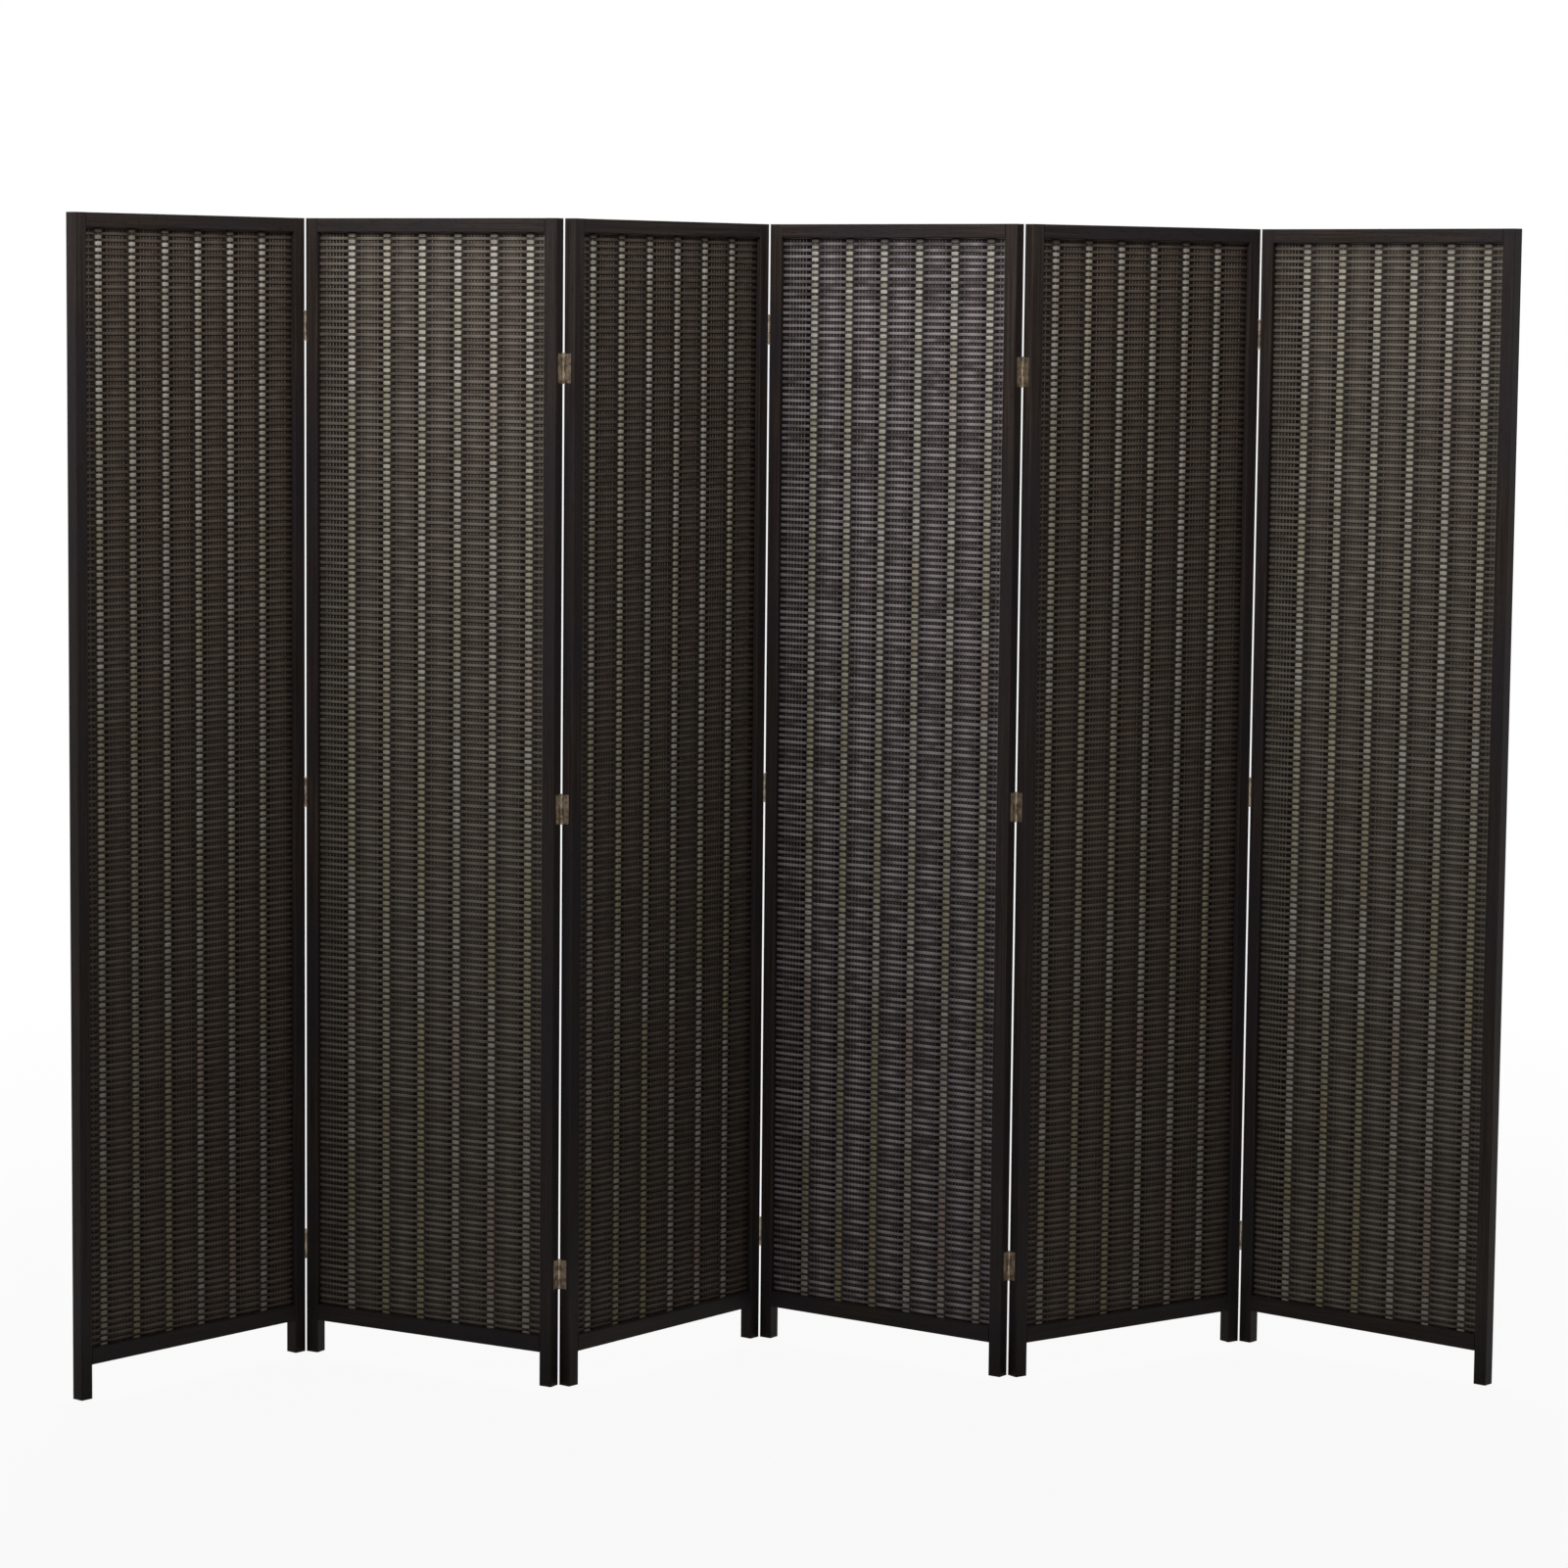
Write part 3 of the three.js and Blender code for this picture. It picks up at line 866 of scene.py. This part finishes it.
    def _slats(self, size: dict, course: Course) -> Socket:
        """Stacks one set of slats.

        Args:
            size: The tree's inputs.
            course: How they pass the columns.

        Returns:
            The slats, each with its own tone.
        """
        graph = self.tree.graph
        maths = graph.maths
        salt = course.salt
        start = maths("MULTIPLY_ADD", size["Row pitch"], course.shift, size["Bottom"])
        rows = self.tree.shape("MeshLine", {
            "Count": size["Rows"],
            "Start Location": graph.vector(0.0, 0.0, start),
            "Offset": graph.vector(0.0, 0.0, size["Row pitch"]),
        })
        lifted = self._random(size, -self.place_spread, self.place_spread, salt)
        uneven = self.tree.shape("SetPosition", {
            "Geometry": rows, "Offset": graph.vector(0.0, 0.0, lifted),
        })
        heights = (1 - self.height_spread, 1 + self.height_spread)
        spread = self._random(size, *heights, salt + self.height_salt)
        stack = self.tree.shape("InstanceOnPoints", {
            "Points": uneven,
            "Instance": self._slat(size, course),
            "Scale": graph.vector(1.0, 1.0, spread),
        })
        own_tone = self._random(size, 0.0, 1.0, salt + self.tone_salt)
        smooth = self.tree.smooth(self._store(stack, "tone", own_tone, domain="INSTANCE"))

        x, y, z = self.tree.position()
        from_columns = maths("SUBTRACT", x, size["Column offset"])
        own = maths("MULTIPLY", self.tree.attribute("tone"), self.pattern_step)
        place = graph.vector(from_columns, own, z)
        noted = self._store(smooth, "weave_place", place, "FLOAT_VECTOR")
        run, rise = self.wave_cycles
        where = graph.vector(maths("MULTIPLY", x, run), size["Seed"], maths("MULTIPLY", z, rise))
        wave = graph.noise(where, 1.0, 1.0)
        lift = maths("MULTIPLY", maths("SUBTRACT", wave, 0.5), self.ripple)
        rippled = self.tree.shape("SetPosition", {
            "Geometry": noted, "Offset": graph.vector(0.0, 0.0, lift),
        })
        return self.tree.coated(rippled, size["Slat finish"])

    def _uprights(self, size: dict, points: object, x: object, width: float) -> Socket:
        """Stands a flat bar of the mat's full height at each point.

        Args:
            size: The tree's inputs.
            points: The points.
            x: Where each goes along X.
            width: The bars' width.

        Returns:
            The bars.
        """
        graph = self.tree.graph
        shape = self.tree.shape
        middle = graph.maths("MULTIPLY_ADD", size["Cord height"], 0.5, size["Cord bottom"])
        placed = shape("SetPosition", {
            "Geometry": points, "Position": graph.vector(x, 0.0, middle),
        })
        now = self.tree.position()[0]
        inside = graph.maths("MULTIPLY_ADD", size["Length"], 0.5, -width)
        outside = graph.maths("GREATER_THAN", graph.maths("ABSOLUTE", now), inside)
        trimmed = shape("DeleteGeometry", {
            "Geometry": placed, "Selection": outside,
        }, domain="POINT")
        bar = shape("MeshCylinder", {
            "Vertices": self.section_sides, "Side Segments": 1, "Radius": 0.5, "Depth": 1.0,
        })
        stood = shape("InstanceOnPoints", {
            "Points": trimmed,
            "Instance": bar,
            "Scale": graph.vector(width, self.cord_thickness, size["Cord height"]),
        })
        return self.tree.coated(self.tree.smooth(stood), size["Cord finish"])

    def _cords(self, size: dict) -> Socket:
        """Stands the thin cords in the bands between columns."""
        maths = self.tree.graph.maths
        count = (self.column_count + 1) * self.cord_count
        points = self.tree.shape("MeshLine", {"Count": count})
        index = self.tree.shape("InputIndex")
        band = maths("FLOOR", maths("DIVIDE", index, self.cord_count))
        step = maths("FLOORED_MODULO", index, self.cord_count)
        step = maths("SUBTRACT", step, (self.cord_count - 1) / 2)
        middle = self._column_middle(size, maths("SUBTRACT", band, 0.5))
        x = maths("MULTIPLY_ADD", step, self.cord_pitch, middle)
        return self._uprights(size, points, x, self.cord_width)

    def _tapes(self, size: dict) -> Socket:
        """Stands a wide warp tape in each column."""
        points = self.tree.shape("MeshLine", {"Count": self.column_count})
        x = self._column_middle(size, self.tree.shape("InputIndex"))
        return self._uprights(size, points, x, self.tape_width)

    def build(self, stand: Stand, slat: Finish, cord: Finish) -> bpy.types.Object:
        """Makes the mat of one panel in the space of its solid.

        Args:
            stand: The panel's place.
            slat: The slats' finish.
            cord: The warp's finish.

        Returns:
            The mat, riding on its panel.
        """
        node = f"panel_{stand.number}_woven_mat"
        low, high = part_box(node)
        slack = 2 * self.place_spread + self.ripple
        tallest = OVER_COLUMNS.heights[-1] * (1 + self.height_spread) + slack
        span = high.z - low.z - tallest
        rows = int(span / self.row_pitch)
        mesh = self.tree.grow(bpy.data.meshes.new("seed"), {
            "Length": 2 * (stand.half_width - stand.stile_face + self.groove_hold),
            "Column offset": self.column_offset * (1 if stand.number % 2 == 0 else -1),
            "Bottom": low.z + tallest / 2,
            "Rows": rows,
            "Row pitch": span / (rows - 0.5),
            "Seed": stand.number,
            "Cord bottom": low.z,
            "Cord height": high.z - low.z,
            "Slat finish": slat.material(),
            "Cord finish": cord.material(),
        })
        mesh.transform(stand.placing())
        piece = show(f"panel_{stand.number}_weave", mesh)
        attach(piece, stand.body)
        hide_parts(node)
        log.info("%s: %d rows, %d faces", piece.name, rows, len(mesh.polygons))
        return piece


@dataclass
class TimberFrame:
    """The stiles and rails of one panel, which keep their own solids."""

    stile: StainedWood

    def dress(self, stand: Stand) -> None:
        """Gives each board its stain, with the grain along the board.

        Args:
            stand: The panel's place.
        """
        rail = StainedWood(f"stained_rail_{stand.number}", Grain.LEVEL, stand.heading)
        boards = {
            "left_stile": self.stile, "right_stile": self.stile,
            "top_rail": rail, "bottom_rail": rail,
        }
        for board, wood in boards.items():
            coat(f"panel_{stand.number}_{board}", wood)


def coat(node: str, finish: Finish) -> None:
    """Gives a carried-over node its finish.

    Args:
        node: The node's name.
        finish: Its finish.
    """
    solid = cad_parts[node]
    if not solid.material_slots:
        solid.data.materials.append(finish.material())
    for slot in solid.material_slots:
        slot.material = finish.material()
    log.info("%s: %s", node, finish.name)


@dataclass
class HingeScrews:
    """Countersunk cross-headed screws, two to a hinge leaf."""

    levels: tuple[str, ...] = ("top", "middle", "bottom")
    spacing: float = 27 * MM
    from_middle: float = 1.7 * MM
    below_edge: float = 0.05 * MM
    head_radius: float = 2.65 * MM
    neck_radius: float = 1.35 * MM
    head_depth: float = 1.0 * MM
    shank_length: float = 11 * MM
    slot_width: float = 0.55 * MM
    slot_length: float = 3.2 * MM
    slot_depth: float = 0.55 * MM
    facets: int = 16
    tree: PartTree = field(init=False)

    def __post_init__(self) -> None:
        """Builds the tree once for all the screws."""
        self.tree = PartTree("hinge_screws")
        size = {name: self.tree.number(name) for name in self._sizes()}
        finish = self.tree.finish("Finish")
        placed = self.tree.shape("InstanceOnPoints", {
            "Points": self.tree.source.outputs[0],
            "Instance": self._screw(size),
            "Rotation": self.tree.graph.vector(0.0, 0.0, self.tree.attribute("turn")),
        })
        real = self.tree.shape("RealizeInstances", {"Geometry": placed})
        self.tree.end(self.tree.coated(real, finish))

    def _sizes(self) -> dict[str, float]:
        """Lists the sizes of a screw by the names of the tree's inputs."""
        return {
            "Head radius": self.head_radius, "Neck radius": self.neck_radius,
            "Head depth": self.head_depth, "Shank length": self.shank_length,
            "Slot width": self.slot_width, "Slot length": self.slot_length,
            "Slot depth": self.slot_depth,
        }

    def _screw(self, size: dict) -> Socket:
        """Shapes one screw along +X, with the top of its head at the origin.

        Args:
            size: The tree's inputs.

        Returns:
            The screw.
        """
        graph = self.tree.graph
        shape = self.tree.shape
        head = shape("MeshCone", {
            "Vertices": self.facets, "Radius Top": size["Neck radius"],
            "Radius Bottom": size["Head radius"], "Depth": size["Head depth"],
        })
        cut = graph.add("GeometryNodeMeshBoolean", {"Mesh 1": head}, operation="DIFFERENCE")
        for sides in (("Slot width", "Slot length"), ("Slot length", "Slot width")):
            block = graph.vector(*(size[name] for name in sides), size["Slot depth"])
            graph.feed(cut.inputs["Mesh 2"], shape("MeshCube", {"Size": block}))
        shank = shape("MeshCylinder", {
            "Vertices": self.facets, "Radius": size["Neck radius"], "Depth": size["Shank length"],
        })
        reach = graph.maths("MULTIPLY_ADD", size["Shank length"], 0.5, size["Head depth"])
        moved = shape("Transform", {
            "Geometry": shank, "Translation": graph.vector(0.0, 0.0, reach),
        })
        joined = self.tree.join(cut.outputs[0], moved)
        return shape("Transform", {"Geometry": joined, "Rotation": (0.0, math.pi / 2, 0.0)})

    def _places(self, stand: Stand) -> list[tuple[Vector, float]]:
        """Finds the screws of one panel.

        Args:
            stand: The panel's place.

        Returns:
            Each screw's place in the row frame, and its turn about the upright.
        """
        found = []
        across = Vector((-stand.along.y, stand.along.x, 0))
        for side in (-1, 1):
            fold = stand.number - 1 if side < 0 else stand.number
            if not 0 < fold < len(PANEL_TONES):
                continue
            pins_in_front = fold % 2 == 1
            is_knuckle_leaf = pins_in_front == (side > 0)
            kind = "knuckle_leaf" if is_knuckle_leaf else "pin_leaf"
            depth = (-1 if pins_in_front else 1) * self.from_middle
            edge = stand.centre + side * (stand.half_width - self.below_edge) * stand.along
            turn = stand.heading + (0 if side < 0 else math.pi)
            for level in self.levels:
                low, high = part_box(f"fold_{fold}_{fold + 1}_{level}_{kind}")
                for end in (-0.5, 0.5):
                    place = edge + depth * across
                    place.z = (low.z + high.z) / 2 + end * self.spacing
                    found.append((place, turn))
        return found

    def build(self, stand: Stand, finish: Finish) -> bpy.types.Object:
        """Makes all the screws of one panel.

        Args:
            stand: The panel's place.
            finish: The screws' finish.

        Returns:
            The screws, riding on their panel.
        """
        places = self._places(stand)
        points = bpy.data.meshes.new("places")
        points.from_pydata([place for place, _ in places], [], [])
        turns = points.attributes.new("turn", "FLOAT", "POINT")
        turns.data.foreach_set("value", [turn for _, turn in places])
        mesh = self.tree.grow(points, {**self._sizes(), "Finish": finish.material()})
        piece = show(f"panel_{stand.number}_hinge_screws", mesh)
        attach(piece, stand.body)
        log.info("%s: %d screws", piece.name, len(places))
        return piece


# ---- Studio ----


@dataclass(frozen=True)
class Lamp:
    """A soft rectangular lamp."""

    name: str
    place: Triple
    aim: Triple
    width: float
    height: float
    power: float
    colour: Triple = (1.0, 1.0, 1.0)

    def hang(self) -> None:
        """Adds the lamp to the scene."""
        data = bpy.data.lights.new(self.name, "AREA")
        data.shape = "RECTANGLE"
        data.size = self.width
        data.size_y = self.height
        data.energy = self.power
        data.color = self.colour
        lamp = bpy.data.objects.new(self.name, data)
        lamp.location = self.place
        look = Vector(self.aim) - Vector(self.place)
        lamp.rotation_euler = look.to_track_quat("-Z", "Y").to_euler()
        bpy.context.scene.collection.objects.link(lamp)


@dataclass
class Studio:
    """A white studio with a pale floor, soft lamps and the photograph's point of view."""

    eye: Triple = (-0.6220, -6.9585, 1.6308)
    yaw: float = 5.066
    pitch: float = 5.975
    roll: float = 0.577
    focal_pixels: float = 4702.7
    frame_pixels: float = 1601.0
    sensor: float = 36.0
    floor_radius: float = 9.0
    floor_corners: int = 96
    floor_colour: Colour = paint(232, 231, 229)
    floor_glow: float = 0.93
    fade_start: float = 1.6
    fade_end: float = 4.0
    ambient: float = 0.26
    key_first: Triple = (-3.21, -1.81, 2.70)
    key_step: float = 1.10
    key_count: int = 4
    key_yaw: float = 16.3
    key_rise: float = 29.5
    key_width: float = 0.9
    key_height: float = 0.35
    key_power: float = 27.9
    back_lamp: Lamp = Lamp(
        "fill_back", place=(-0.4, 3.4, 2.6), aim=(0.0, 0.0, 1.0), width=3.0, height=1.2, power=60,
        colour=(1.0, 0.98, 0.95),
    )

    def lamps(self) -> list[Lamp]:
        """Makes the row of high lamps at the left front, and the lamp behind the screen.

        Returns:
            The lamps.
        """
        yaw, rise = math.radians(self.key_yaw), math.radians(self.key_rise)
        level = math.cos(rise)
        aim = Vector((math.sin(yaw) * level, math.cos(yaw) * level, math.sin(rise)))
        row = []
        for number in range(self.key_count):
            name = f"key_{number + 1}"
            place = Vector(self.key_first) + Vector((number * self.key_step, 0, 0))
            size = (self.key_width, self.key_height)
            row.append(Lamp(name, place, place + aim, *size, self.key_power))
        return [*row, self.back_lamp]

    def _is_background(self, graph: Graph) -> Socket:
        """Is 1 on rays that show the backdrop: from the camera, by gloss or through glass."""
        path = graph.add("ShaderNodeLightPath").outputs
        seen = graph.maths("MAXIMUM", path["Is Camera Ray"], path["Is Glossy Ray"])
        return graph.maths("MAXIMUM", seen, path["Is Transmission Ray"])

    def world(self) -> None:
        """Makes a world that looks white and lights the object softly."""
        world = bpy.data.worlds.new("white_studio")
        world.use_nodes = True
        graph = Graph(world.node_tree)
        seen = self._is_background(graph)
        strength = graph.maths("MULTIPLY_ADD", seen, 1 - self.ambient, self.ambient)
        light = graph.add("ShaderNodeBackground", {"Color": (1, 1, 1, 1), "Strength": strength})
        output = graph.add("ShaderNodeOutputWorld")
        graph.feed(output.inputs["Surface"], light.outputs[0])
        bpy.context.scene.world = world

    def floor(self) -> None:
        """Lays a pale floor that keeps the object's shadow and fades into the white backdrop."""
        mesh = bpy.data.meshes.new("floor")
        corners = range(self.floor_corners)
        ring = [2 * math.pi * step / self.floor_corners for step in corners]
        rim = [(self.floor_radius * math.cos(a), self.floor_radius * math.sin(a), 0) for a in ring]
        mesh.from_pydata(rim, [], [list(corners)])
        material = bpy.data.materials.new("pale_floor")
        material.use_nodes = True
        graph = Graph(material.node_tree)
        place = graph.add("ShaderNodeTexCoord").outputs["Object"]
        distance = graph.add("ShaderNodeVectorMath", {0: place}, operation="LENGTH")
        faded = window(graph, distance.outputs["Value"], self.fade_start, self.fade_end)
        glow_share = graph.maths("MULTIPLY_ADD", faded, 1 - self.floor_glow, self.floor_glow)
        glow_share = graph.maths("MULTIPLY", glow_share, self._is_background(graph))
        matt = graph.add("ShaderNodeBsdfDiffuse", {"Color": self.floor_colour})
        glow = graph.add("ShaderNodeEmission", {"Color": (1, 1, 1, 1), "Strength": 1.0})
        inputs = {0: glow_share, 1: matt.outputs[0], 2: glow.outputs[0]}
        mixed = graph.add("ShaderNodeMixShader", inputs)
        output = graph.add("ShaderNodeOutputMaterial")
        graph.feed(output.inputs["Surface"], mixed.outputs[0])
        mesh.materials.append(material)
        floor = bpy.data.objects.new("floor", mesh)
        bpy.context.scene.collection.objects.link(floor)

    def camera(self) -> None:
        """Sets up the camera at the photograph's place, with its heading, tilt and lean."""
        yaw, pitch, roll = (math.radians(angle) for angle in (self.yaw, self.pitch, self.roll))
        ahead = Vector((
            math.sin(yaw) * math.cos(pitch), math.cos(yaw) * math.cos(pitch), -math.sin(pitch),
        ))
        level = Vector((math.cos(yaw), -math.sin(yaw), 0))
        up = level.cross(ahead)
        right = level * math.cos(roll) + up * math.sin(roll)
        top = up * math.cos(roll) - level * math.sin(roll)
        data = bpy.data.cameras.new("camera")
        data.sensor_width = self.sensor
        data.lens = self.sensor * self.focal_pixels / self.frame_pixels
        camera = bpy.data.objects.new("camera", data)
        turn = Matrix((right, top, -ahead)).transposed().to_4x4()
        camera.matrix_world = Matrix.Translation(self.eye) @ turn
        bpy.context.scene.collection.objects.link(camera)
        bpy.context.scene.camera = camera

    def build(self) -> None:
        """Sets up the whole studio."""
        bpy.context.scene.view_settings.view_transform = "Standard"
        self.camera()
        self.world()
        self.floor()
        lamps = self.lamps()
        for lamp in lamps:
            lamp.hang()
        log.info("studio: %d lamps", len(lamps))


def main() -> None:
    """Builds the studio and dresses the screen, panel by panel."""
    logging.basicConfig(level=logging.INFO, format="%(message)s")
    Studio().build()
    stile = StainedWood("stained_stiles", Grain.UPRIGHT)
    brass = AgedBrass()
    mats = WovenMat()
    screws = HingeScrews()
    timber = TimberFrame(stile)
    for number, tone in enumerate(PANEL_TONES, 1):
        stand = Stand.of(number)
        timber.dress(stand)
        mats.build(stand, WovenSlat(f"stained_slats_{number}", tone), WarpCord())
        screws.build(stand, brass)
    for node in sorted(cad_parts):
        if node.startswith("fold_"):
            coat(node, brass)


if __name__ == "__main__":
    main()
